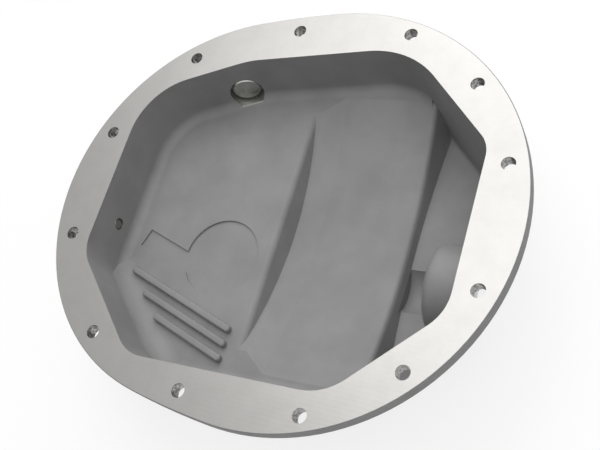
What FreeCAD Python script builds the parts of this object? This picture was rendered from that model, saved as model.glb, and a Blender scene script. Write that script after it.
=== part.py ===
import FreeCAD, Part
import math
import os

import Sketcher
from FreeCAD import Placement, Rotation, Vector

# Axle differential cover, an aluminium casting that lies on its back with its mouth up.
# Origin: centre of the gasket face. X runs along the axle, Y is up on the vehicle and
# Z points out of the mouth, so the bowl hangs below Z = 0 and rests on its fins.

doc = FreeCAD.newDocument("differential_cover")
sheet = doc.addObject("Spreadsheet::Sheet", "sizes")

# Driving dimensions in millimetres and degrees
sizes = {
    # gasket flange
    "flangeThickness": 9.5,
    "flangeChamfer": 0.6,
    "rightFlangeRadius": 152.0,
    "rightFlangeCentre": 8.2,
    "leftFlangeRadius": 145.1,
    "leftFlangeCentre": 36.5,
    "flangeJoinRadius": 578.0,
    # bolt holes, six above the axle and six mirrored below it
    "boltHoleDiameter": 9.4,
    "rightBoltRadius": 143.3,
    "rightBoltCentre": 3.8,
    "leftBoltRadius": 135.6,
    "leftBoltCentre": 32.1,
    "firstBoltTurn": 16.96,
    "secondBoltTurn": 42.8,
    "thirdBoltTurn": 69.6,
    "fourthBoltTurn": 90.0,
    "fifthBoltTurn": 126.0,
    "sixthBoltTurn": 162.05,
    # mouth of the cavity: distance of each of the eight walls from the centre
    "mouthRight": 125.7,
    "mouthUpperRight": 127.4,
    "mouthTop": 116.2,
    "mouthUpperLeft": 125.3,
    "mouthLeft": 145.8,
    "mouthLowerLeft": 141.1,
    "mouthBottom": 119.4,
    "mouthLowerRight": 129.8,
    "topWallTurn": 96.9,
    "upperLeftWallTurn": 110.8,
    "lowerLeftWallTurn": 225.0,
    # mouth of the cavity: radius of the corner after each wall
    "cornerRightUpper": 20.0,
    "cornerUpperTop": 63.0,
    "cornerTopUpper": 75.0,
    "cornerUpperLeft": 51.0,
    "cornerLeftLower": 30.0,
    "cornerLowerBottom": 28.0,
    "cornerBottomLower": 39.0,
    "cornerLowerRight": 31.0,
    # bowl
    "wallThickness": 5.0,
    "innerDraft": 6.5,
    "outerDraft": 7.5,
    "leftDepth": 40.5,
    "channelDepth": 60.0,
    "rightDepth": 68.0,
    "channelRadius": 300.0,
    "leftStepPlace": 25.5,
    "leftStepLean": 20.0,
    "leftStepRound": 5.0,
    "rampFoot": 17.0,
    "rampWidth": 17.0,
    "rampDrop": 4.5,
    "rightStepPlace": 71.0,
    "rightStepLean": 18.0,
    "rightStepRound": 4.0,
    "cavityFillet": 7.5,
    "deepFillet": 3.5,
    "coveRadius": 16.0,
    "cutMargin": 5.0,
    # ribs and relief on the shallow floor
    "ribTurn": 19.0,
    "ribWidth": 5.0,
    "ribHeight": 4.5,
    "ribFirstPlace": 88.3,
    "ribPitch": 9.9,
    "ribCount": 3,
    "ribStop": 32.0,
    "ribStart": 124.5,
    "ribEndRound": 2.8,
    "ribRound": 1.5,
    "reliefPlace": 60.0,
    "reliefHeight": 30.0,
    "reliefRadius": 29.0,
    "reliefArmPlace": 8.3,
    "reliefArmWidth": 14.0,
    "reliefArmLength": 67.5,
    "reliefDepth": 1.4,
    # drain port, low on the right wall
    "drainHeight": 25.0,
    "drainDepth": 57.0,
    "drainBossRadius": 31.0,
    "drainBossRound": 7.5,
    "drainTroughRadius": 19.0,
    "drainBulgeRadius": 24.5,
    "drainBossStart": 95.0,
    "drainBossEnd": 114.5,
    "drainSeat": 112.5,
    "drainThread": 20.0,
    "drainHead": 30.0,
    "headGap": 1.0,
    # fill port, on the upper left wall
    "fillPlace": 38.2,
    "fillDepth": 30.0,
    "fillBossRadius": 18.0,
    "fillSeat": 137.0,
    "fillThread": 26.0,
    "fillHead": 33.0,
    # sensor port, on the left wall
    "sensorHeight": 21.8,
    "sensorDepth": 23.0,
    "sensorBossRadius": 8.5,
    "sensorSeat": 156.0,
    "sensorThread": 8.6,
    "sensorPlugInset": 1.0,
    # plugs and washers
    "threadClearance": 0.2,
    "headThickness": 5.5,
    "headChamfer": 0.8,
    "plugSocket": 10.0,
    "plugSocketDepth": 7.0,
    "sensorSocket": 4.0,
    "sensorSocketDepth": 4.5,
    "washerThickness": 1.5,
    "washerClearance": 0.3,
    "drainPlugTip": 96.5,
    "fillPlugTip": 124.5,
    "fillTipStep": 3.0,
    "fillTipDiameter": 22.0,
    "sensorPlugTip": 144.0,
    "magnetDiameter": 10.0,
    "magnetLength": 6.0,
    # cooling fins
    "finTipDepth": 90.0,
    "finThickness": 4.5,
    "finPitch": 26.0,
    "finCount": 7,
    "finLeftEnd": 106.0,
    "finLeftSlope": 36.0,
    "finRightEnd": 110.0,
    "finRightSlope": 20.0,
    "finRoot": 30.0,
}
for row, (name, value) in enumerate(sizes.items(), start=1):
    sheet.set("A%d" % row, name)
    sheet.set("B%d" % row, str(value))
    sheet.setAlias("B%d" % row, name)
doc.recompute()


def size(name):
    return float(sheet.get(name))


def bind(item, prop, formula):
    item.setExpression(prop, formula.replace("$", "sizes."))


def plane(body, role):
    return next(item for item in body.Origin.OriginFeatures if item.Role == role)


def newBody(label):
    body = doc.addObject("PartDesign::Body", label)
    body.Label = label
    return body


def newSketch(body, name, role="XY_Plane"):
    sketch = body.newObject("Sketcher::SketchObject", name)
    sketch.AttachmentSupport = [(plane(body, role), "")]
    sketch.MapMode = "FlatFace"
    return sketch


def datum(sketch, formula, *terms):
    """One dimension of a sketch, tied to the sheet."""
    index = sketch.addConstraint(Sketcher.Constraint(*terms))
    bind(sketch, "Constraints[%d]" % index, formula)


def addArc(sketch, centre, radius, first, last):
    circle = Part.Circle(Vector(centre[0], centre[1], 0), Vector(0, 0, 1), radius)
    return sketch.addGeometry(Part.ArcOfCircle(circle, first, last), False)


def addProfile(sketch, corners):
    """A closed outline through corners (x, y, x formula, y formula).

    A fifth entry (radius, radius formula, side) makes the run to the next corner an arc,
    turning left for side 1 and right for side -1.
    """
    count = len(corners)
    runs = []
    for here, corner in enumerate(corners):
        start = Vector(corner[0], corner[1], 0)
        following = corners[(here + 1) % count]
        end = Vector(following[0], following[1], 0)
        if len(corner) == 4:
            runs.append((sketch.addGeometry(Part.LineSegment(start, end), False), 1, 2))
            continue
        radius, radiusFormula, side = corner[4]
        chord = end - start
        across = Vector(-chord.y, chord.x, 0).normalize() * side
        reach = math.sqrt(max(radius ** 2 - (chord.Length / 2) ** 2, 0))
        centre = (start + end) * 0.5 + across * reach
        first = math.atan2(start.y - centre.y, start.x - centre.x)
        last = math.atan2(end.y - centre.y, end.x - centre.x)
        if side < 0:
            first, last = last, first
        index = addArc(sketch, centre, radius, first, last)
        runs.append((index, 1, 2) if side > 0 else (index, 2, 1))
        datum(sketch, radiusFormula, "Radius", index, radius)
    for here in range(count):
        index, start, end = runs[here]
        following, followingStart, followingEnd = runs[(here + 1) % count]
        sketch.addConstraint(Sketcher.Constraint("Coincident", index, end, following, followingStart))
    for (index, start, end), corner in zip(runs, corners):
        datum(sketch, corner[2], "DistanceX", -1, 1, index, start, corner[0])
        datum(sketch, corner[3], "DistanceY", -1, 1, index, start, corner[1])


def recomputed(body, what):
    """Recompute and stop with a plain message where the last feature is not sound."""
    doc.recompute()
    tip = body.Tip
    shape = tip.Shape
    if shape.isNull() or not shape.isValid() or "Invalid" in tip.State:
        raise RuntimeError("%s: %s failed" % (body.Label, what))
    return shape.Volume


def edgeNames(shape, edges):
    names = []
    for number, edge in enumerate(shape.Edges, start=1):
        if any(edge.isSame(other) for other in edges):
            names.append("Edge%d" % number)
    return names


def floorFace(shape, level):
    """The largest flat face that looks down at one level."""
    flat = [face for face in shape.Faces
            if isinstance(face.Surface, Part.Plane) and abs(face.CenterOfMass.z - level) < 0.01
            and abs(face.BoundBox.ZLength) < 0.01]
    return max(flat, key=lambda face: face.Area)


def roundEdges(body, edges, formula, name):
    """A fillet on edges of the body's last feature."""
    base = body.Tip
    fillet = body.newObject("PartDesign::Fillet", name)
    fillet.Base = (base, edgeNames(base.Shape, edges))
    bind(fillet, "Radius", formula)
    recomputed(body, name)
    return fillet


# The mouth has eight straight walls joined by arcs: turn of the wall, name of the turn where
# the sheet has one, name of its distance and name of the corner radius that follows it
mouthWalls = [
    (0.0, None, "mouthRight", "cornerRightUpper"),
    (45.0, None, "mouthUpperRight", "cornerUpperTop"),
    (size("topWallTurn"), "topWallTurn", "mouthTop", "cornerTopUpper"),
    (size("upperLeftWallTurn"), "upperLeftWallTurn", "mouthUpperLeft", "cornerUpperLeft"),
    (180.0, None, "mouthLeft", "cornerLeftLower"),
    (size("lowerLeftWallTurn"), "lowerLeftWallTurn", "mouthLowerLeft", "cornerLowerBottom"),
    (270.0, None, "mouthBottom", "cornerBottomLower"),
    (315.0, None, "mouthLowerRight", "cornerLowerRight"),
]


def mouthOutline(body, name, grow, plus):
    """Eight walls and eight tangent corner arcs, set outwards by grow."""
    sketch = newSketch(body, name)
    count = len(mouthWalls)

    def crossing(one, other):
        a, b = math.radians(one[0]), math.radians(other[0])
        p, q = size(one[2]) + grow, size(other[2]) + grow
        det = math.sin(b - a)
        return Vector((p * math.sin(b) - q * math.sin(a)) / det, (q * math.cos(a) - p * math.cos(b)) / det, 0)

    corners = [crossing(mouthWalls[i], mouthWalls[(i + 1) % count]) for i in range(count)]
    lines = []
    arcs = []
    for i in range(count):
        wall, before, after = mouthWalls[i], mouthWalls[i - 1], mouthWalls[(i + 1) % count]
        turn = math.radians(wall[0])
        along = Vector(-math.sin(turn), math.cos(turn), 0)
        radiusIn = size(before[3]) + grow
        radiusOut = size(wall[3]) + grow
        turnIn = math.radians((wall[0] - before[0]) % 360)
        turnOut = math.radians((after[0] - wall[0]) % 360)
        start = corners[i - 1] + along * (radiusIn * math.tan(turnIn / 2))
        end = corners[i] - along * (radiusOut * math.tan(turnOut / 2))
        lines.append(sketch.addGeometry(Part.LineSegment(start, end), False))
        centre = end - Vector(math.cos(turn), math.sin(turn), 0) * radiusOut
        arcs.append(addArc(sketch, centre, radiusOut, turn, turn + turnOut))
    for i in range(count):
        sketch.addConstraint(Sketcher.Constraint("Tangent", lines[i], 2, arcs[i], 1))
        sketch.addConstraint(Sketcher.Constraint("Tangent", arcs[i], 2, lines[(i + 1) % count], 1))
    for i, (turn, turnName, distanceName, cornerName) in enumerate(mouthWalls):
        heading = (turn + 90 + 180) % 360 - 180
        if turnName:
            datum(sketch, "$%s - 270" % turnName, "Angle", lines[i], math.radians(heading))
        else:
            sketch.addConstraint(Sketcher.Constraint("Angle", lines[i], math.radians(heading)))
        datum(sketch, "$%s%s" % (distanceName, plus), "Distance", -1, 1, lines[i], size(distanceName) + grow)
        datum(sketch, "$%s%s" % (cornerName, plus), "Radius", arcs[i], size(cornerName) + grow)
    return sketch


def bowlBlock(body, name, depthName, draftName, grow, plus):
    """The mouth carried down to one level with drafted walls."""
    outline = mouthOutline(body, name + "_mouth", grow, plus)
    block = body.newObject("PartDesign::Pad", name + "_walls")
    block.Profile = outline
    block.Reversed = True
    bind(block, "Length", "$" + depthName + plus)
    bind(block, "TaperAngle", "-$" + draftName)
    recomputed(body, name + " walls")
    return block


def cutAcross(body, name, corners, turn=None):
    """Remove a side view (X across, Z up) from the whole width of a body."""
    sketch = newSketch(body, name + "_side", "XZ_Plane")
    if turn:
        sketch.AttachmentOffset = Placement(Vector(0, 0, 0), Rotation(Vector(0, 1, 0), 1))
        bind(sketch, "AttachmentOffset.Rotation.Angle", turn)
    addProfile(sketch, corners)
    pocket = body.newObject("PartDesign::Pocket", name)
    pocket.Profile = sketch
    pocket.Type = "ThroughAll"
    pocket.SideType = "Symmetric"
    recomputed(body, name)


def cutAround(body, name, corners):
    """Remove a section turned about the channel's line, which lies along X above the mouth."""
    sketch = newSketch(body, name + "_section", "XZ_Plane")
    bind(sketch, "AttachmentOffset.Base.y", "$channelRadius - $channelDepth")
    addProfile(sketch, corners)
    groove = body.newObject("PartDesign::Groove", name)
    groove.Profile = sketch
    groove.ReferenceAxis = (sketch, ["H_Axis"])
    groove.Midplane = True
    groove.Angle = 90
    recomputed(body, name)
    return groove


def bowlForm(label, draftName, growName=None):
    """The stepped bowl: shallow floor, dished channel and deep pocket, set outwards by a wall."""
    grow = size(growName) if growName else 0.0
    plus = " + $%s" % growName if growName else ""
    minus = " - $%s" % growName if growName else ""
    deep = size("rightDepth") + grow
    shallow = size("leftDepth") + grow
    far = size("mouthLeft") + size("flangeThickness") + grow
    farFormula = "$mouthLeft + $flangeThickness" + plus
    top = size("cutMargin")
    below = deep + size("cutMargin")
    belowFormula = "-$rightDepth - $cutMargin" + minus
    radius = size("channelRadius") + grow
    radiusFormula = "-($channelRadius%s)" % plus
    away = radius + deep
    awayFormula = "-($channelRadius + $rightDepth%s%s)" % (plus, plus)
    near = size("channelRadius") - size("channelDepth") - top
    nearFormula = "$channelDepth + $cutMargin - $channelRadius"
    lean = math.radians(size("rightStepLean"))
    foot = size("rightStepPlace") - grow * (1 - math.sin(lean)) / math.cos(lean)
    crest = foot - (size("rightDepth") - size("channelDepth")) * math.tan(lean)
    crestFormula = ("$rightStepPlace - ($rightDepth - $channelDepth) * tan($rightStepLean)"
                    + (" - $%s * (1 - sin($rightStepLean)) / cos($rightStepLean)" % growName if growName else ""))
    turnRadius = size("rightStepRound")
    turnRun = turnRadius * math.tan(math.pi / 4 - lean / 2)
    runFormula = "$rightStepRound * tan(45 - $rightStepLean / 2)"
    lip = crest - turnRun
    lipFormula = crestFormula + " - " + runFormula

    # deep pocket on the right, up to its step, whose rounded lip follows the channel's dish
    pocket = newBody(label + "_deep")
    block = bowlBlock(pocket, label + "_deep", "rightDepth", draftName, grow, plus)
    rim = floorFace(block.Shape, -deep).OuterWire.Edges
    roundEdges(pocket, rim, "$deepFillet" + plus, label + "_deep_rim")
    cutAround(pocket, label + "_deep_step", [
        (-far, -near, "-(%s)" % farFormula, nearFormula),
        (-far, -away, "-(%s)" % farFormula, awayFormula),
        (crest + deep * math.tan(lean), -away,
         crestFormula + " + ($rightDepth%s) * tan($rightStepLean)" % plus, awayFormula),
        (crest + turnRun * math.sin(lean), -radius - turnRun * math.cos(lean),
         crestFormula + " + %s * sin($rightStepLean)" % runFormula,
         radiusFormula + " - %s * cos($rightStepLean)" % runFormula,
         (turnRadius, "$rightStepRound", 1)),
        (lip, -radius, lipFormula, radiusFormula),
        (lip, -near, lipFormula, nearFormula),
    ])

    # channel floor: a shallow dish about a line along the axle, its rim rounded
    dished = newBody(label + "_channel")
    bowlBlock(dished, label + "_channel", "rightDepth", draftName, grow, plus)
    floor = cutAround(dished, label + "_channel_floor", [
        (-far, -radius, "-(%s)" % farFormula, radiusFormula),
        (-far, -away, "-(%s)" % farFormula, awayFormula),
        (far, -away, farFormula, awayFormula),
        (far, -radius, farFormula, radiusFormula),
    ])
    rounded = [face for face in floor.Shape.Faces
               if isinstance(face.Surface, Part.Cylinder) and abs(face.Surface.Radius - radius) < 0.01]
    roundEdges(dished, rounded[0].OuterWire.Edges, "$cavityFillet" + plus, label + "_channel_rim")

    # ramp beside the left step
    foot = -size("rampFoot") - grow
    rampEnd = foot + size("rampWidth")
    footRadius = radius - size("rampDrop")
    footFormula = "-($channelRadius - $rampDrop%s)" % plus
    cutAround(dished, label + "_ramp", [
        (-far, -footRadius, "-(%s)" % farFormula, footFormula),
        (-far, -away, "-(%s)" % farFormula, awayFormula),
        (rampEnd, -away, "-$rampFoot + $rampWidth" + minus, awayFormula),
        (rampEnd, -radius, "-$rampFoot + $rampWidth" + minus, radiusFormula),
        (foot, -footRadius, "-$rampFoot" + minus, footFormula),
    ])
    cutAcross(dished, label + "_channel_end", [
        (lip, top, lipFormula, "$cutMargin"),
        (lip, -below, lipFormula, belowFormula),
        (far, -below, farFormula, belowFormula),
        (far, top, farFormula, "$cutMargin"),
    ])

    # leaning left step with a rounded lip
    start = -size("leftStepPlace") - grow
    lean = math.radians(size("leftStepLean"))
    leftLip = size("leftStepRound")
    lipEnd = Vector(start + leftLip * math.cos(lean), -shallow - leftLip + leftLip * math.sin(lean), 0)
    low = lipEnd.x + (below + lipEnd.y) * math.tan(lean)
    startFormula = "-$leftStepPlace" + minus
    endFormula = startFormula + " + $leftStepRound * cos($leftStepLean)"
    riseFormula = "-$leftDepth - $leftStepRound + $leftStepRound * sin($leftStepLean)" + minus
    lowFormula = (endFormula + " + ($rightDepth + $cutMargin - $leftDepth - $leftStepRound"
                  " + $leftStepRound * sin($leftStepLean)) * tan($leftStepLean)")
    cutAcross(dished, label + "_channel_start", [
        (-far, top, "-(%s)" % farFormula, "$cutMargin"),
        (-far, -below, "-(%s)" % farFormula, belowFormula),
        (low, -below, lowFormula, belowFormula),
        (lipEnd.x, lipEnd.y, endFormula, riseFormula, (leftLip, "$leftStepRound", 1)),
        (start, -shallow, startFormula, "-$leftDepth" + minus),
        (start, top, startFormula, "$cutMargin"),
    ])

    # shallow floor over the whole mouth, with a broad cove along its lower left wall
    bowl = newBody(label)
    block = bowlBlock(bowl, label, "leftDepth", draftName, grow, plus)
    rim = floorFace(block.Shape, -shallow).OuterWire.Edges
    roundEdges(bowl, rim, "$cavityFillet" + plus, label + "_rim")
    draft = math.radians(size(draftName))
    cove = size("coveRadius") + grow
    coveFormula = "$coveRadius" + plus
    run = cove * math.tan(math.pi / 4 - draft / 2)
    runFormula = "((%s) * tan(45 - $%s / 2))" % (coveFormula, draftName)
    corner = size("mouthLowerLeft") + grow - shallow * math.tan(draft)
    cornerFormula = "($mouthLowerLeft%s - ($leftDepth%s) * tan($%s))" % (plus, plus, draftName)
    inner = corner - run
    outer = corner + run * math.sin(draft)
    rise = -shallow + run * math.cos(draft)
    innerFormula = "%s - %s" % (cornerFormula, runFormula)
    outerFormula = "%s + %s * sin($%s)" % (cornerFormula, runFormula, draftName)
    riseFormula = "-$leftDepth%s + %s * cos($%s)" % (minus, runFormula, draftName)
    wide = outer + size("coveRadius")
    wideFormula = outerFormula + " + $coveRadius"
    under = -shallow - size("cutMargin")
    underFormula = "-$leftDepth - $cutMargin" + minus
    cutAcross(bowl, label + "_cove", [
        (inner, -shallow, innerFormula, "-$leftDepth" + minus, (cove, coveFormula, 1)),
        (outer, rise, outerFormula, riseFormula),
        (wide, rise, wideFormula, riseFormula),
        (wide, under, wideFormula, underFormula),
        (inner, under, innerFormula, underFormula),
    ], "$lowerLeftWallTurn")

    # the three forms joined
    join = bowl.newObject("PartDesign::Boolean", label + "_join")
    join.Type = "Fuse"
    join.setObjects([dished, pocket])
    print(label, "volume", round(recomputed(bowl, "join")))
    return bowl


def extrude(body, name, sketch, kind, length=None, forward=True):
    """A pad or pocket of a sketch along its normal; without a length it runs through all."""
    feature = body.newObject("PartDesign::" + kind, name)
    feature.Profile = sketch
    feature.Reversed = forward == (kind == "Pocket")
    if length:
        bind(feature, "Length", length)
    else:
        feature.Type = "ThroughAll"
    recomputed(body, name)
    return feature


def portCircle(body, name, port, reach, diameter):
    """A circle about a port's axis, on a plane square to it at some reach from the centre."""
    turn, place, depth = port
    sketch = newSketch(body, name, "YZ_Plane")
    sketch.AttachmentOffset = Placement(Vector(0, 0, 0), Rotation(Vector(0, 1, 0), 1))
    bind(sketch, "AttachmentOffset.Rotation.Angle", turn)
    bind(sketch, "AttachmentOffset.Base.x", "(%s) * sin(%s) + (%s) * cos(%s)" % (reach, turn, place, turn))
    bind(sketch, "AttachmentOffset.Base.z", "(%s) * cos(%s) - (%s) * sin(%s)" % (reach, turn, place, turn))
    bind(sketch, "AttachmentOffset.Base.y", "-(%s)" % depth)
    index = sketch.addGeometry(Part.Circle(Vector(0, 0, 0), Vector(0, 0, 1), 10), False)
    sketch.addConstraint(Sketcher.Constraint("Coincident", index, 3, -1, 1))
    datum(sketch, diameter, "Diameter", index, 20.0)
    return sketch


def portSection(body, name, port, corners):
    """A section for turning about a port's axis; corners are (reach, radius) with their formulas."""
    turn, place, depth = port
    sketch = newSketch(body, name, "XZ_Plane")
    sketch.AttachmentOffset = Placement(Vector(0, 0, 0), Rotation(Vector(0, 1, 0), 1))
    bind(sketch, "AttachmentOffset.Rotation.Angle", turn)
    bind(sketch, "AttachmentOffset.Base.x", "-(%s) * sin(%s)" % (place, turn))
    bind(sketch, "AttachmentOffset.Base.z", "-(%s) * cos(%s)" % (place, turn))
    bind(sketch, "AttachmentOffset.Base.y", "-(%s)" % depth)
    addProfile(sketch, corners)
    return sketch


def turned(label, port, corners):
    """A piece turned about a port's axis."""
    body = newBody(label)
    sketch = portSection(body, label + "_section", port, corners)
    revolution = body.newObject("PartDesign::Revolution", label + "_turned")
    revolution.Profile = sketch
    revolution.ReferenceAxis = (sketch, ["H_Axis"])
    revolution.Angle = 360
    recomputed(body, label)
    return body


def hexSocket(body, port, reach, width, depth):
    """A hexagonal driving socket sunk into the outer end of a plug."""
    sketch = portCircle(body, body.Label + "_socket_outline", port, reach, width)
    sketch.toggleConstruction(0)
    corners = []
    for number in range(6):
        turn = 60 * number
        radius = size(width[1:]) / math.sqrt(3)
        corners.append((radius * math.cos(math.radians(turn)), radius * math.sin(math.radians(turn)),
                        "%s / sqrt(3) * cos(%d)" % (width, turn),
                        "%s / sqrt(3) * sin(%d)" % (width, turn)))
    addProfile(sketch, corners)
    extrude(body, body.Label + "_socket", sketch, "Pocket", depth, forward=False)


# Each port: turn of its axis, place along the wall and depth below the gasket face
drainPort = ("0", "-$drainHeight", "$drainDepth")
fillPort = ("$upperLeftWallTurn", "$fillPlace", "$fillDepth")
sensorPort = ("180", "$sensorHeight", "$sensorDepth")

# The cavity is made first, as the sand core that leaves it
core = bowlForm("cavity", "innerDraft")

# round relief with an arm, sunk into the shallow floor
relief = newSketch(core, "relief_outline")
relief.AttachmentOffset = Placement(Vector(0, 0, 0), Rotation(Vector(0, 0, 1), 1))
bind(relief, "AttachmentOffset.Rotation.Angle", "180 - $ribTurn")
bind(relief, "AttachmentOffset.Base.x", "-$reliefPlace")
bind(relief, "AttachmentOffset.Base.y", "-$reliefHeight")
bind(relief, "AttachmentOffset.Base.z", "-$leftDepth - $reliefDepth")
wheel = size("reliefRadius")
high = size("reliefArmPlace")
low = high + size("reliefArmWidth")
highJoin = math.sqrt(wheel ** 2 - high ** 2)
lowJoin = math.sqrt(wheel ** 2 - low ** 2)
lowFormula = "$reliefArmPlace + $reliefArmWidth"
rounding = (wheel, "$reliefRadius", 1)
addProfile(relief, [
    (lowJoin, low, "sqrt($reliefRadius ^ 2 - (%s) ^ 2)" % lowFormula, lowFormula, rounding),
    (-wheel, 0, "-$reliefRadius", "0", rounding),
    (0, -wheel, "0", "-$reliefRadius", rounding),
    (highJoin, high, "sqrt($reliefRadius ^ 2 - $reliefArmPlace ^ 2)", "$reliefArmPlace"),
    (size("reliefArmLength"), high, "$reliefArmLength", "$reliefArmPlace"),
    (size("reliefArmLength"), low, "$reliefArmLength", lowFormula),
])
extrude(core, "relief", relief, "Pad", "2 * $reliefDepth")

# ribs on the shallow floor, which run into the lower left wall
ribs = newSketch(core, "rib_outlines")
ribs.AttachmentOffset = Placement(Vector(0, 0, 0), Rotation(Vector(0, 0, 1), 1))
bind(ribs, "AttachmentOffset.Rotation.Angle", "-$ribTurn")
bind(ribs, "AttachmentOffset.Base.z", "-$leftDepth - $reliefDepth")
half = size("ribWidth") / 2
rounding = (size("ribEndRound"), "$ribEndRound", 1)
for number in range(int(size("ribCount"))):
    place = size("ribFirstPlace") + number * size("ribPitch")
    placeFormula = "($ribFirstPlace + %d * $ribPitch)" % number
    turn = math.radians(size("ribTurn"))
    tip = (place * math.sin(turn) - size("ribStop")) / math.cos(turn) - half
    tipFormula = "(%s * sin($ribTurn) - $ribStop) / cos($ribTurn) - $ribWidth / 2" % placeFormula
    across = math.radians(270 - size("lowerLeftWallTurn") - size("ribTurn"))
    root = (place * math.cos(across) - size("ribStart")) / math.sin(across)
    rootFormula = ("(%s * cos(270 - $lowerLeftWallTurn - $ribTurn) - $ribStart)"
                   " / sin(270 - $lowerLeftWallTurn - $ribTurn)") % placeFormula
    addProfile(ribs, [
        (root, -place - half, rootFormula, "-%s - $ribWidth / 2" % placeFormula),
        (tip, -place - half, tipFormula, "-%s - $ribWidth / 2" % placeFormula, rounding),
        (tip, -place + half, tipFormula, "-%s + $ribWidth / 2" % placeFormula),
        (root, -place + half, rootFormula, "-%s + $ribWidth / 2" % placeFormula, rounding),
    ])
ribCut = extrude(core, "ribs", ribs, "Pocket", "$ribHeight + $reliefDepth")
ribTop = size("ribHeight") - size("leftDepth")
ribSlope = math.tan(math.radians(size("ribTurn")))
crests = [edge for edge in ribCut.Shape.Edges
          if edge.BoundBox.ZLength < 0.01 and abs(edge.BoundBox.ZMin - ribTop) < 0.01
          and (isinstance(edge.Curve, Part.Circle)
               or abs(edge.BoundBox.YLength - ribSlope * edge.BoundBox.XLength) < 0.01)]
roundEdges(core, crests, "$ribRound", "rib_crests")

# trough in the deep floor and the boss behind it, both about the drain's axis
trough = portCircle(core, "drain_trough_outline", drainPort, "$rightStepPlace", "2 * $drainTroughRadius")
extrude(core, "drain_trough", trough, "Pad", "$drainBossStart + $drainBossRound - $rightStepPlace")
start = size("drainBossStart")
end = size("mouthRight") + size("wallThickness")
radius = size("drainBossRadius")
rounding = size("drainBossRound")
boss = core.newObject("PartDesign::Groove", "drain_boss")
boss.Profile = portSection(core, "drain_boss_section", drainPort, [
    (start, 0, "$drainBossStart", "0"),
    (end, 0, "$mouthRight + $wallThickness", "0"),
    (end, radius, "$mouthRight + $wallThickness", "$drainBossRadius"),
    (start + rounding, radius, "$drainBossStart + $drainBossRound", "$drainBossRadius",
     (rounding, "$drainBossRound", 1)),
    (start, radius - rounding, "$drainBossStart", "$drainBossRadius - $drainBossRound"),
])
boss.ReferenceAxis = (boss.Profile[0], ["H_Axis"])
boss.Angle = 360
recomputed(core, "drain boss")
print("core faces", len(core.Shape.Faces), "volume", round(core.Shape.Volume))

# Casting: gasket flange first
back = bowlForm("back", "outerDraft", "wallThickness")
cover = newBody("cover_casting")
outline = newSketch(cover, "flange_outline")
rightCentre = Vector(size("rightFlangeCentre"), 0, 0)
leftCentre = Vector(-size("leftFlangeCentre"), 0, 0)
toRight = size("flangeJoinRadius") - size("rightFlangeRadius")
toLeft = size("flangeJoinRadius") - size("leftFlangeRadius")
between = rightCentre.x - leftCentre.x
joinX = rightCentre.x - (toRight ** 2 - toLeft ** 2 + between ** 2) / (2 * between)
joinY = math.sqrt(toRight ** 2 - (rightCentre.x - joinX) ** 2)
first = math.atan2(joinY, rightCentre.x - joinX)
last = math.atan2(joinY, leftCentre.x - joinX)
arcs = [
    addArc(outline, rightCentre, size("rightFlangeRadius"), -first, first),
    addArc(outline, Vector(joinX, -joinY, 0), size("flangeJoinRadius"), first, last),
    addArc(outline, leftCentre, size("leftFlangeRadius"), last, 2 * math.pi - last),
    addArc(outline, Vector(joinX, joinY, 0), size("flangeJoinRadius"), -last, -first),
]
for here in range(4):
    outline.addConstraint(Sketcher.Constraint("Tangent", arcs[here], 2, arcs[(here + 1) % 4], 1))
outline.addConstraint(Sketcher.Constraint("PointOnObject", arcs[0], 3, -1))
outline.addConstraint(Sketcher.Constraint("PointOnObject", arcs[2], 3, -1))
outline.addConstraint(Sketcher.Constraint("Equal", arcs[1], arcs[3]))
datum(outline, "$rightFlangeCentre", "DistanceX", -1, 1, arcs[0], 3, rightCentre.x)
datum(outline, "-$leftFlangeCentre", "DistanceX", -1, 1, arcs[2], 3, leftCentre.x)
datum(outline, "$rightFlangeRadius", "Radius", arcs[0], size("rightFlangeRadius"))
datum(outline, "$leftFlangeRadius", "Radius", arcs[2], size("leftFlangeRadius"))
datum(outline, "$flangeJoinRadius", "Radius", arcs[1], size("flangeJoinRadius"))
flange = extrude(cover, "flange", outline, "Pad", "$flangeThickness", forward=False)
edges = [edge for edge in flange.Shape.Edges if edge.BoundBox.ZLength < 0.01]
chamfer = cover.newObject("PartDesign::Chamfer", "flange_edges")
chamfer.Base = (flange, edgeNames(flange.Shape, edges))
bind(chamfer, "Size", "$flangeChamfer")
recomputed(cover, "flange edges")
fuse = cover.newObject("PartDesign::Boolean", "bowl")
fuse.Type = "Fuse"
fuse.setObjects([back])
recomputed(cover, "bowl")

# cooling fins across the back, their tips in one plane
fin = newSketch(cover, "fin_side", "XZ_Plane")
bind(fin, "AttachmentOffset.Base.z", "($finCount - 1) / 2 * $finPitch")
addProfile(fin, [
    (-size("finLeftEnd"), -size("finRoot"), "-$finLeftEnd", "-$finRoot"),
    (-size("finLeftEnd") + size("finLeftSlope"), -size("finTipDepth"), "-$finLeftEnd + $finLeftSlope",
     "-$finTipDepth"),
    (size("finRightEnd") - size("finRightSlope"), -size("finTipDepth"), "$finRightEnd - $finRightSlope",
     "-$finTipDepth"),
    (size("finRightEnd"), -size("finRoot"), "$finRightEnd", "-$finRoot"),
])
firstFin = cover.newObject("PartDesign::Pad", "first_fin")
firstFin.Profile = fin
firstFin.SideType = "Symmetric"
bind(firstFin, "Length", "$finThickness")
recomputed(cover, "first fin")
fins = cover.newObject("PartDesign::LinearPattern", "fins")
fins.Originals = [firstFin]
fins.Direction = (plane(cover, "Y_Axis"), [""])
bind(fins, "Length", "($finCount - 1) * $finPitch")
bind(fins, "Occurrences", "$finCount")
cover.Tip = fins
print("with fins", round(recomputed(cover, "fins")))

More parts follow.
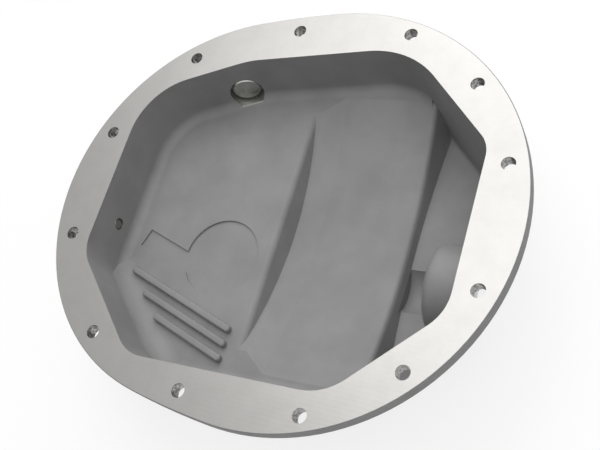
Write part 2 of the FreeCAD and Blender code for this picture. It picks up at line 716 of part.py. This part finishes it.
# bosses outside the three ports
sketch = portCircle(cover, "drain_bulge_outline", drainPort, "$rightStepPlace - $wallThickness",
                    "2 * $drainBulgeRadius")
extrude(cover, "drain_bulge", sketch, "Pad", "$drainBossEnd - $rightStepPlace + $wallThickness")
sketch = portCircle(cover, "fill_boss_outline", fillPort, "$mouthUpperLeft - $wallThickness",
                    "2 * $fillBossRadius")
extrude(cover, "fill_boss", sketch, "Pad", "$fillSeat - $mouthUpperLeft + $wallThickness")
sketch = portCircle(cover, "sensor_boss_outline", sensorPort, "$mouthLeft - $wallThickness",
                    "2 * $sensorBossRadius")
extrude(cover, "sensor_boss", sketch, "Pad", "$sensorSeat - $mouthLeft + $wallThickness")

# hollow it with the core
cut = cover.newObject("PartDesign::Boolean", "cavity_cut")
cut.Type = "Cut"
cut.setObjects([core])
print("hollowed", round(recomputed(cover, "cavity")))

# bores of the ports
for name, port, reach, diameter in (
    ("drain_bore", drainPort, "$drainBossStart - 1", "$drainThread"),
    ("drain_spot_face", drainPort, "$drainSeat", "$drainHead + 2 * $headGap"),
    ("fill_bore", fillPort, "$mouthUpperLeft - $cavityFillet", "$fillThread"),
    ("sensor_bore", sensorPort, "$mouthLeft - $cavityFillet", "$sensorThread"),
):
    sketch = portCircle(cover, name + "_outline", port, reach, diameter)
    extrude(cover, name, sketch, "Pocket")

# bolt holes above the axle, then their mirror images below it
holes = newSketch(cover, "bolt_holes_above")
boltNames = ["first", "second", "third", "fourth", "fifth", "sixth"]
for number, name in enumerate(boltNames):
    side, sign = ("right", "") if number < 3 else ("left", "-")
    radius, turn = size(side + "BoltRadius"), math.radians(size(name + "BoltTurn"))
    centre = size(side + "BoltCentre") * (1 if side == "right" else -1)
    x, y = centre + radius * math.cos(turn), radius * math.sin(turn)
    hole = holes.addGeometry(Part.Circle(Vector(x, y, 0), Vector(0, 0, 1), 4), False)
    datum(holes, "%s$%sBoltCentre + $%sBoltRadius * cos($%sBoltTurn)" % (sign, side, side, name),
          "DistanceX", -1, 1, hole, 3, x)
    datum(holes, "$%sBoltRadius * sin($%sBoltTurn)" % (side, name), "DistanceY", -1, 1, hole, 3, y)
    datum(holes, "$boltHoleDiameter", "Diameter", hole, 8.0)
above = extrude(cover, "holes_above", holes, "Pocket", "2 * $flangeThickness", forward=False)
below = cover.newObject("PartDesign::Mirrored", "holes_below")
below.Originals = [above]
below.MirrorPlane = (plane(cover, "XZ_Plane"), [""])
cover.Tip = below
print("casting", round(recomputed(cover, "holes")), len(cover.Shape.Faces))

# drain plug: a headed plug whose shank ends inside the boss and holds a magnet
head = "($drainSeat + $washerThickness)"
headX = size("drainSeat") + size("washerThickness")
outX = headX + size("headThickness")
shank = size("drainThread") / 2 - size("threadClearance")
shankFormula = "$drainThread / 2 - $threadClearance"
rim = size("drainHead") / 2
edge = size("headChamfer")
tip = size("drainPlugTip")
pit = size("magnetDiameter") / 2 + size("threadClearance")
pitFormula = "$magnetDiameter / 2 + $threadClearance"
pitEnd = tip + size("magnetLength")
drainPlug = turned("drain_plug", drainPort, [
    (pitEnd, 0, "$drainPlugTip + $magnetLength", "0"),
    (outX, 0, head + " + $headThickness", "0"),
    (outX, rim - edge, head + " + $headThickness", "$drainHead / 2 - $headChamfer"),
    (outX - edge, rim, head + " + $headThickness - $headChamfer", "$drainHead / 2"),
    (headX, rim, head, "$drainHead / 2"),
    (headX, shank, head, shankFormula),
    (tip + edge, shank, "$drainPlugTip + $headChamfer", shankFormula),
    (tip, shank - edge, "$drainPlugTip", shankFormula + " - $headChamfer"),
    (tip, pit, "$drainPlugTip", pitFormula),
    (pitEnd, pit, "$drainPlugTip + $magnetLength", pitFormula),
])
hexSocket(drainPlug, drainPort, head + " + $headThickness", "$plugSocket", "$plugSocketDepth")
magnet = turned("drain_plug_magnet", drainPort, [
    (tip, 0, "$drainPlugTip", "0"),
    (pitEnd, 0, "$drainPlugTip + $magnetLength", "0"),
    (pitEnd, size("magnetDiameter") / 2, "$drainPlugTip + $magnetLength", "$magnetDiameter / 2"),
    (tip, size("magnetDiameter") / 2, "$drainPlugTip", "$magnetDiameter / 2"),
])


def washer(label, port, prefix):
    """A flat sealing washer between a port's seat and its plug's head."""
    seat = size(prefix + "Seat")
    inner = size(prefix + "Thread") / 2 + size("washerClearance")
    outer = size(prefix + "Head") / 2 - size("washerClearance")
    top = seat + size("washerThickness")
    innerFormula = "$%sThread / 2 + $washerClearance" % prefix
    outerFormula = "$%sHead / 2 - $washerClearance" % prefix
    return turned(label, port, [
        (seat, inner, "$%sSeat" % prefix, innerFormula),
        (top, inner, "$%sSeat + $washerThickness" % prefix, innerFormula),
        (top, outer, "$%sSeat + $washerThickness" % prefix, outerFormula),
        (seat, outer, "$%sSeat" % prefix, outerFormula),
    ])


drainWasher = washer("drain_plug_washer", drainPort, "drain")
fillWasher = washer("fill_plug_washer", fillPort, "fill")

# fill plug: headed, with a smaller tip just inside the wall
head = "($fillSeat + $washerThickness)"
headX = size("fillSeat") + size("washerThickness")
outX = headX + size("headThickness")
shank = size("fillThread") / 2 - size("threadClearance")
shankFormula = "$fillThread / 2 - $threadClearance"
rim = size("fillHead") / 2
tip = size("fillPlugTip")
nose = size("fillTipDiameter") / 2
shoulder = tip + size("fillTipStep")
fillPlug = turned("fill_plug", fillPort, [
    (tip, 0, "$fillPlugTip", "0"),
    (outX, 0, head + " + $headThickness", "0"),
    (outX, rim - edge, head + " + $headThickness", "$fillHead / 2 - $headChamfer"),
    (outX - edge, rim, head + " + $headThickness - $headChamfer", "$fillHead / 2"),
    (headX, rim, head, "$fillHead / 2"),
    (headX, shank, head, shankFormula),
    (shoulder, shank, "$fillPlugTip + $fillTipStep", shankFormula),
    (shoulder, nose, "$fillPlugTip + $fillTipStep", "$fillTipDiameter / 2"),
    (tip + edge, nose, "$fillPlugTip + $headChamfer", "$fillTipDiameter / 2"),
    (tip, nose - edge, "$fillPlugTip", "$fillTipDiameter / 2 - $headChamfer"),
])
hexSocket(fillPlug, fillPort, head + " + $headThickness", "$plugSocket", "$plugSocketDepth")

# sensor port plug: a headless set screw just below the boss's face
tip = size("sensorPlugTip")
outX = size("sensorSeat") - size("sensorPlugInset")
shank = size("sensorThread") / 2 - size("threadClearance")
shankFormula = "$sensorThread / 2 - $threadClearance"
outFormula = "$sensorSeat - $sensorPlugInset"
sensorPlug = turned("sensor_port_plug", sensorPort, [
    (tip, 0, "$sensorPlugTip", "0"),
    (outX, 0, outFormula, "0"),
    (outX, shank - edge, outFormula, shankFormula + " - $headChamfer"),
    (outX - edge, shank, outFormula + " - $headChamfer", shankFormula),
    (tip + edge, shank, "$sensorPlugTip + $headChamfer", shankFormula),
    (tip, shank - edge, "$sensorPlugTip", shankFormula + " - $headChamfer"),
])
hexSocket(sensorPlug, sensorPort, outFormula, "$sensorSocket", "$sensorSocketDepth")

# Check every object, then write one STEP file for each piece
pieces = [cover, fillPlug, fillWasher, drainPlug, drainWasher, magnet, sensorPlug]
doc.recompute()
for item in doc.Objects:
    if "Invalid" in item.State or "Error" in item.State:
        raise RuntimeError("%s is in state %s" % (item.Label, item.State))
os.makedirs("parts", exist_ok=True)
for piece in pieces:
    shape = piece.Shape
    if shape.isNull() or not shape.isValid() or len(shape.Solids) != 1:
        raise RuntimeError("%s is not one sound solid" % piece.Label)
    shape.exportStep("parts/%s.step" % piece.Label)
    print(piece.Label, round(shape.Volume), "mm3")
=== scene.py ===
import math

import bpy
from mathutils import Matrix, Vector


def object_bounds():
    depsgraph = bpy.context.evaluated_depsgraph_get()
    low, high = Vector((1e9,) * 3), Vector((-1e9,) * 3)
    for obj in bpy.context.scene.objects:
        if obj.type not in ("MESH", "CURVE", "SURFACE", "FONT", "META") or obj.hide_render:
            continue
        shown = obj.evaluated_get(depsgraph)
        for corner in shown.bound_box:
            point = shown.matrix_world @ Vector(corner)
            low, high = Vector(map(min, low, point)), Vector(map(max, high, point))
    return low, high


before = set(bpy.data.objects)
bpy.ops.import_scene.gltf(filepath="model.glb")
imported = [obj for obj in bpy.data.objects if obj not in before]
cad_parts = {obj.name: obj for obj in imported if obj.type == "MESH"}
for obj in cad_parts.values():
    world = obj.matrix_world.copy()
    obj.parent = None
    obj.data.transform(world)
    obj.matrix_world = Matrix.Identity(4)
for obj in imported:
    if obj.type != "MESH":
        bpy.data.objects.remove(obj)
cadLow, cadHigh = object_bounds()
bpy.context.scene.view_settings.view_transform = "Standard"
print("frame loaded:", ", ".join(sorted(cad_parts)))

# Metres throughout, in the CAD's own frame: gasket face at z = 0, axle along x, mouth up
mm = 0.001


def srgb(code):  # hex sRGB to linear: a straight line near black, a power of 2.4 above it
    parts = [int(code[i:i + 2], 16) / 255 for i in (1, 3, 5)]
    return tuple(c / 12.92 if c <= 0.04045 else ((c + 0.055) / 1.055) ** 2.4 for c in parts) + (1.0,)


def addNode(tree, kind, inputs=None, **settings):  # one node with its settings, values and links
    node = tree.nodes.new(kind)
    for name, value in settings.items():
        setattr(node, name, value)
    for name, value in (inputs or {}).items():
        socket = node.inputs[name]
        if isinstance(value, bpy.types.NodeSocket):
            tree.links.new(value, socket)
        else:
            socket.default_value = value
    return node


def newMaterial(name):
    material = bpy.data.materials.new(name)
    material.use_nodes = True
    material.node_tree.nodes.clear()
    return material, material.node_tree


def cloudyTone(tree, place, cloud, one, other):
    # Cloud is (size in mm, detail, roughness, low, high, most): below low the first colour,
    # above high that share of the second
    size, detail, roughness, low, high, most = cloud
    cloudy = addNode(tree, "ShaderNodeTexNoise", {
        "Vector": place, "Scale": 1 / (size * mm), "Detail": detail, "Roughness": roughness})
    share = addNode(tree, "ShaderNodeMapRange", {
        "Value": cloudy.outputs[0], "From Min": low, "From Max": high, "To Min": 0.0, "To Max": most})
    tone = addNode(tree, "ShaderNodeMix", {
        0: share.outputs[0], 6: srgb(one), 7: srgb(other)}, data_type="RGBA")  # 6 and 7 are its colours
    return tone.outputs[2]


def seenDirectly(tree):  # 1 for rays from the camera, from mirrors and through glass
    path = addNode(tree, "ShaderNodeLightPath")
    first = addNode(tree, "ShaderNodeMath", {
        0: path.outputs["Is Camera Ray"], 1: path.outputs["Is Glossy Ray"]}, operation="MAXIMUM")
    return addNode(tree, "ShaderNodeMath", {
        0: first.outputs[0], 1: path.outputs["Is Transmission Ray"]}, operation="MAXIMUM").outputs[0]


def nearAxis(tree, place, point, heading, reach):  # 1 within reach of a line, 0 outside
    # distance to the line: length of the cross product of its heading and the way from its point
    away = addNode(tree, "ShaderNodeVectorMath", {0: place, 1: point}, operation="SUBTRACT")
    square = addNode(tree, "ShaderNodeVectorMath", {0: away.outputs[0], 1: heading}, operation="CROSS_PRODUCT")
    length = addNode(tree, "ShaderNodeVectorMath", {0: square.outputs[0]}, operation="LENGTH")
    return addNode(tree, "ShaderNodeMath", {
        0: length.outputs["Value"], 1: reach}, operation="LESS_THAN").outputs[0]


def anyOf(tree, shares):  # the largest of several shares
    total = shares[0]
    for share in shares[1:]:
        total = addNode(tree, "ShaderNodeMath", {0: total, 1: share}, operation="MAXIMUM").outputs[0]
    return total


def drilledPlaces(tree, place):
    # The CAD's bolt circles and ports in millimetres and degrees
    drilled = {
        "bolts": [  # centre x, radius, turns of three holes, each mirrored below the axle
            (3.8, 143.3, (16.96, 42.8, 69.6)),
            (-32.1, 135.6, (90.0, 126.0, 162.05)),
        ],
        "boltReach": 4.75,
        "ports": [  # turn of the axis, place along the wall, depth, bore radius, where the bore begins
            (0.0, -25.0, 57.0, 10.0, 94.6),
            (110.8, 38.2, 30.0, 13.0, 117.0),
            (180.0, 21.8, 23.0, 4.3, 137.0),
        ],
        "portSlack": 0.05,
    }
    parts = addNode(tree, "ShaderNodeSeparateXYZ", {"Vector": place})
    above = addNode(tree, "ShaderNodeMath", {0: parts.outputs["Y"]}, operation="ABSOLUTE")
    folded = addNode(tree, "ShaderNodeCombineXYZ", {"X": parts.outputs["X"], "Y": above.outputs[0]})
    bolts = []
    for centre, radius, turns in drilled["bolts"]:
        for turn in turns:
            angle = math.radians(turn)
            point = ((centre + radius * math.cos(angle)) * mm, radius * math.sin(angle) * mm, 0.0)
            bolts.append(nearAxis(tree, folded.outputs[0], point, (0.0, 0.0, 1.0), drilled["boltReach"] * mm))
    ports = []
    for turn, along, depth, radius, start in drilled["ports"]:
        angle = math.radians(turn)
        heading = (math.cos(angle), math.sin(angle), 0.0)
        point = (-math.sin(angle) * along * mm, math.cos(angle) * along * mm, -depth * mm)
        reach = addNode(tree, "ShaderNodeVectorMath", {0: place, 1: heading}, operation="DOT_PRODUCT")
        beyond = addNode(tree, "ShaderNodeMath", {
            0: reach.outputs["Value"], 1: start * mm}, operation="GREATER_THAN")
        inside = nearAxis(tree, place, point, heading, (radius + drilled["portSlack"]) * mm)
        ports.append(addNode(tree, "ShaderNodeMath", {
            0: inside, 1: beyond.outputs[0]}, operation="MULTIPLY").outputs[0])
    return anyOf(tree, bolts), anyOf(tree, ports)


def castAluminium():
    # Sand-cast aluminium, shot-blasted: a matt, even grey with a fine grain. Its gasket face is milled
    # bright and its holes are drilled, so both mirror what is around them. Sizes in millimetres
    look = {
        "cast": "#878787",
        "castDark": "#7e7e7e",
        "stains": (38, 3.0, 0.6, 0.35, 0.65, 1.0),
        "castMetallic": 0.15,
        "castRoughness": 0.7,
        "grain": 0.9,  # the real 0.3 mm is too fine to show, so it is three times as coarse
        "grainDepth": 0.08,
        "lumps": 7,
        "lumpDepth": 0.25,
        "skinStrength": 0.4,
        "milled": "#979694",
        "milledDark": "#8c8b89",
        "scuffs": (16, 4.0, 0.7, 0.4, 0.7, 0.35),
        "milledRoughness": 0.33,
        "millPitch": 3.0,  # the real 0.3 mm is too fine to show, so it is ten times as coarse
        "millDepth": 0.02,
        "millStrength": 0.3,
        "millCentre": 1900,
        "faceDepth": 0.05,
        "drilled": "#b4b4b1",
        "drilledDark": "#6c6c6a",
        "chatter": (1.8, 3.0, 0.6, 0.42, 0.58, 1.0),
        "drilledMetallic": 0.9,
        "drilledRoughness": 0.34,
        "drillPitch": 1.6,
        "drillDepth": 0.1,
        "drillStrength": 0.25,
        "port": "#868682",
        "portMetallic": 0.7,
        "portRoughness": 0.42,
    }
    material, tree = newMaterial("sand_cast_aluminium")
    place = addNode(tree, "ShaderNodeTexCoord").outputs["Object"]
    height = addNode(tree, "ShaderNodeSeparateXYZ", {"Vector": place}).outputs["Z"]

    # cast skin: the sand's grain on shallow lumps, with broad stains
    grain = addNode(tree, "ShaderNodeTexNoise", {
        "Vector": place, "Scale": 1 / (look["grain"] * mm), "Detail": 3.0, "Roughness": 0.6})
    lumps = addNode(tree, "ShaderNodeTexNoise", {
        "Vector": place, "Scale": 1 / (look["lumps"] * mm), "Detail": 2.0, "Roughness": 0.5})
    swell = addNode(tree, "ShaderNodeBump", {
        "Height": lumps.outputs[0], "Strength": look["skinStrength"], "Distance": look["lumpDepth"] * mm})
    skin = addNode(tree, "ShaderNodeBump", {
        "Height": grain.outputs[0], "Strength": look["skinStrength"], "Distance": look["grainDepth"] * mm,
        "Normal": swell.outputs[0]})
    castShader = addNode(tree, "ShaderNodeBsdfPrincipled", {
        "Base Color": cloudyTone(tree, place, look["stains"], look["cast"], look["castDark"]),
        "Metallic": look["castMetallic"], "Roughness": look["castRoughness"], "Normal": skin.outputs[0]})

    # a face mill leaves shallow arcs about the far centre of its sweep; a wave texture turns over
    # once in a twentieth of a full turn, so its scale is tau / 20 by the pitch
    sweep = addNode(tree, "ShaderNodeMapping", {
        "Vector": place, "Location": (0.0, look["millCentre"] * mm, 0.0), "Scale": (1.0, 1.0, 0.0)})
    arcs = addNode(tree, "ShaderNodeTexWave", {
        "Vector": sweep.outputs[0], "Scale": math.tau / 20 / (look["millPitch"] * mm), "Distortion": 0.0},
        wave_type="RINGS", rings_direction="SPHERICAL")
    marks = addNode(tree, "ShaderNodeBump", {
        "Height": arcs.outputs[1], "Strength": look["millStrength"], "Distance": look["millDepth"] * mm})
    milledShader = addNode(tree, "ShaderNodeBsdfPrincipled", {
        "Base Color": cloudyTone(tree, place, look["scuffs"], look["milled"], look["milledDark"]),
        "Metallic": 1.0, "Roughness": look["milledRoughness"], "Normal": marks.outputs[0]})

    # bores show the drill's rings and chatter
    rings = addNode(tree, "ShaderNodeTexWave", {
        "Vector": place, "Scale": math.tau / 20 / (look["drillPitch"] * mm), "Distortion": 1.5, "Detail": 1.0},
        wave_type="BANDS", bands_direction="Z")
    bored = addNode(tree, "ShaderNodeBump", {
        "Height": rings.outputs[1], "Strength": look["drillStrength"], "Distance": look["drillDepth"] * mm})
    boredShader = addNode(tree, "ShaderNodeBsdfPrincipled", {
        "Base Color": cloudyTone(tree, place, look["chatter"], look["drilledDark"], look["drilled"]),
        "Metallic": look["drilledMetallic"], "Roughness": look["drilledRoughness"],
        "Normal": bored.outputs[0]})
    portShader = addNode(tree, "ShaderNodeBsdfPrincipled", {
        "Base Color": srgb(look["port"]), "Metallic": look["portMetallic"],
        "Roughness": look["portRoughness"], "Normal": bored.outputs[0]})

    # milled where the surface lies within a hair of the gasket plane, drilled inside the bores
    face = addNode(tree, "ShaderNodeMapRange", {
        "Value": height, "From Min": -look["faceDepth"] * mm * 1.5, "From Max": -look["faceDepth"] * mm,
        "To Min": 0.0, "To Max": 1.0})
    bolts, ports = drilledPlaces(tree, place)
    skinOrPort = addNode(tree, "ShaderNodeMixShader", {
        0: ports, 1: castShader.outputs[0], 2: portShader.outputs[0]})
    skinOrBore = addNode(tree, "ShaderNodeMixShader", {
        0: bolts, 1: skinOrPort.outputs[0], 2: boredShader.outputs[0]})
    shader = addNode(tree, "ShaderNodeMixShader", {
        0: face.outputs[0], 1: skinOrBore.outputs[0], 2: milledShader.outputs[0]})
    addNode(tree, "ShaderNodeOutputMaterial", {"Surface": shader.outputs[0]})
    return material


def metalPiece(name, look):
    # One metal with a cloudy coat or tarnish, and fine pits where the look names them. Sizes in mm
    material, tree = newMaterial(name)
    place = addNode(tree, "ShaderNodeTexCoord").outputs["Object"]
    tone = cloudyTone(tree, place, look["cloud"], look["clean"], look["dull"])
    shader = addNode(tree, "ShaderNodeBsdfPrincipled", {
        "Base Color": tone, "Metallic": 1.0, "Roughness": look["roughness"]})
    if "pits" in look:
        pits = addNode(tree, "ShaderNodeTexNoise", {
            "Vector": place, "Scale": 1 / (look["pits"] * mm), "Detail": 2.0, "Roughness": 0.5})
        bump = addNode(tree, "ShaderNodeBump", {
            "Height": pits.outputs[0], "Strength": look["pitStrength"], "Distance": look["pitDepth"] * mm})
        tree.links.new(bump.outputs[0], shader.inputs["Normal"])
    addNode(tree, "ShaderNodeOutputMaterial", {"Surface": shader.outputs[0]})
    return material


def dressNodes():
    # Zinc-plated turned steel: satin and lightly pitted; the small plug gets a darker, rougher zinc tone
    zinc = {
        "clean": "#d2d2cf", "dull": "#a6a6a2", "cloud": (5, 4.0, 0.6, 0.35, 0.7, 0.6),
        "roughness": 0.36, "pits": 0.5, "pitStrength": 0.1, "pitDepth": 0.03,
    }
    darkerZinc = dict(zinc, clean="#8e8e8a", dull="#6a6a67", roughness=0.5)
    # Annealed copper, stamped from sheet: soft, warm and a little tarnished
    copper = {"clean": "#b5755a", "dull": "#6e4a3a", "cloud": (4, 3.0, 0.5, 0.4, 0.7, 0.7), "roughness": 0.42}
    # Nickel-plated magnet, ground: grey and smooth
    nickel = {"clean": "#8b8a86", "dull": "#6a6966", "cloud": (3, 3.0, 0.5, 0.4, 0.7, 0.5), "roughness": 0.25}
    steelPlug = metalPiece("zinc_plated_steel", zinc)
    washer = metalPiece("annealed_copper", copper)
    looks = {
        "cover_casting": castAluminium(),
        "fill_plug": steelPlug,
        "drain_plug": steelPlug,
        "sensor_port_plug": metalPiece("darker_zinc_plate", darkerZinc),
        "fill_plug_washer": washer,
        "drain_plug_washer": washer,
        "drain_plug_magnet": metalPiece("nickel_plated_magnet", nickel),
    }
    for name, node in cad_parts.items():
        node.data.materials.clear()
        node.data.materials.append(looks[name])
    print("materials on", len(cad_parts), "nodes")


def makeCamera():
    # Placed where the twelve bolt holes of the photograph fall on those of the part
    view = {
        "place": (0.29625, -0.2205, 0.5049),
        "right": (0.8828, 0.2829, -0.3749),
        "up": (-0.1070, 0.8984, 0.4259),
        "lens": 56.93,
        "sensor": 36,
        "nearest": 0.01,
    }
    data = bpy.data.cameras.new("camera")
    data.lens = view["lens"]
    data.sensor_width = view["sensor"]
    data.clip_start = view["nearest"]
    camera = bpy.data.objects.new("camera", data)
    bpy.context.scene.collection.objects.link(camera)
    right = Vector(view["right"]).normalized()
    up = Vector(view["up"])
    up = (up - right * up.dot(right)).normalized()
    turn = Matrix((right, up, right.cross(up))).transposed()
    camera.matrix_world = Matrix.Translation(view["place"]) @ turn.to_4x4()
    bpy.context.scene.camera = camera
    print("camera placed")


def makeWorld(strength):  # white where it is seen, grey where it only lights
    world = bpy.data.worlds.new("studio")
    bpy.context.scene.world = world
    world.use_nodes = True
    tree = world.node_tree
    tree.nodes.clear()
    grey = addNode(tree, "ShaderNodeBackground", {"Color": (1, 1, 1, 1), "Strength": strength})
    white = addNode(tree, "ShaderNodeBackground", {"Color": (1, 1, 1, 1), "Strength": 1.0})
    mix = addNode(tree, "ShaderNodeMixShader", {
        0: seenDirectly(tree), 1: grey.outputs[0], 2: white.outputs[0]})
    addNode(tree, "ShaderNodeOutputWorld", {"Surface": mix.outputs[0]})


def makeLamps():
    # Soft lamps on a dome round the part, all facing its middle
    dome = {
        "distance": 1.2,
        "world": 0.28,
        "lamps": [  # name, azimuth from +x and elevation in degrees, width, watts
            ("key", 112, 57, 1.1, 6.2),
            ("low", 90, 25, 1.1, 6.8),
            ("above", 0, 88, 1.1, 2.8),
            ("fill", -20, 55, 1.1, 4.2),
        ],
    }
    makeWorld(dome["world"])
    for name, azimuth, elevation, width, power in dome["lamps"]:
        lamp = bpy.data.lights.new(name, "AREA")
        lamp.shape = "DISK"
        lamp.size = width
        lamp.energy = power
        holder = bpy.data.objects.new(name, lamp)
        bpy.context.scene.collection.objects.link(holder)
        turn, rise = math.radians(azimuth), math.radians(elevation)
        heading = Vector((math.cos(rise) * math.cos(turn), math.cos(rise) * math.sin(turn), math.sin(rise)))
        holder.location = heading * dome["distance"]
        holder.rotation_mode = "QUATERNION"
        holder.rotation_quaternion = (-heading).to_track_quat("-Z", "Y")
    print("lamps placed:", len(dome["lamps"]))


def makeFloor():
    # White paper just under the fins, which keeps the part's soft shadow
    paper = {
        "colour": "#ffffff",
        "half": 3.0,
        "gap": 0.2 * mm,
        "whiteNear": 0.8,  # share of its own white under the part, and away from it
        "whiteFar": 1.0,
        "fadeFrom": 0.2,
        "fadeTo": 0.5,
    }
    material, tree = newMaterial("white_paper")
    lit = addNode(tree, "ShaderNodeBsdfDiffuse", {"Color": srgb(paper["colour"])})
    glow = addNode(tree, "ShaderNodeEmission", {"Color": srgb(paper["colour"]), "Strength": 1.0})
    place = addNode(tree, "ShaderNodeTexCoord").outputs["Object"]
    away = addNode(tree, "ShaderNodeVectorMath", {0: place}, operation="LENGTH")
    white = addNode(tree, "ShaderNodeMapRange", {
        "Value": away.outputs["Value"], "From Min": paper["fadeFrom"], "From Max": paper["fadeTo"],
        "To Min": paper["whiteNear"], "To Max": paper["whiteFar"]})
    share = addNode(tree, "ShaderNodeMath", {
        0: seenDirectly(tree), 1: white.outputs[0]}, operation="MULTIPLY")
    sheet = addNode(tree, "ShaderNodeMixShader", {0: share.outputs[0], 1: lit.outputs[0], 2: glow.outputs[0]})
    # clear from below, so that the back of the part can be looked at
    side = addNode(tree, "ShaderNodeNewGeometry")
    clear = addNode(tree, "ShaderNodeBsdfTransparent", {"Color": (1, 1, 1, 1)})
    shader = addNode(tree, "ShaderNodeMixShader", {
        0: side.outputs["Backfacing"], 1: sheet.outputs[0], 2: clear.outputs[0]})
    addNode(tree, "ShaderNodeOutputMaterial", {"Surface": shader.outputs[0]})

    half, level = paper["half"], cadLow[2] - paper["gap"]
    data = bpy.data.meshes.new("floor")
    data.from_pydata([(-half, -half, level), (half, -half, level), (half, half, level), (-half, half, level)],
                     [], [(0, 1, 2, 3)])
    floor = bpy.data.objects.new("floor", data)
    floor.data.materials.append(material)
    bpy.context.scene.collection.objects.link(floor)
    print("floor laid")


dressNodes()
makeCamera()
makeLamps()
makeFloor()
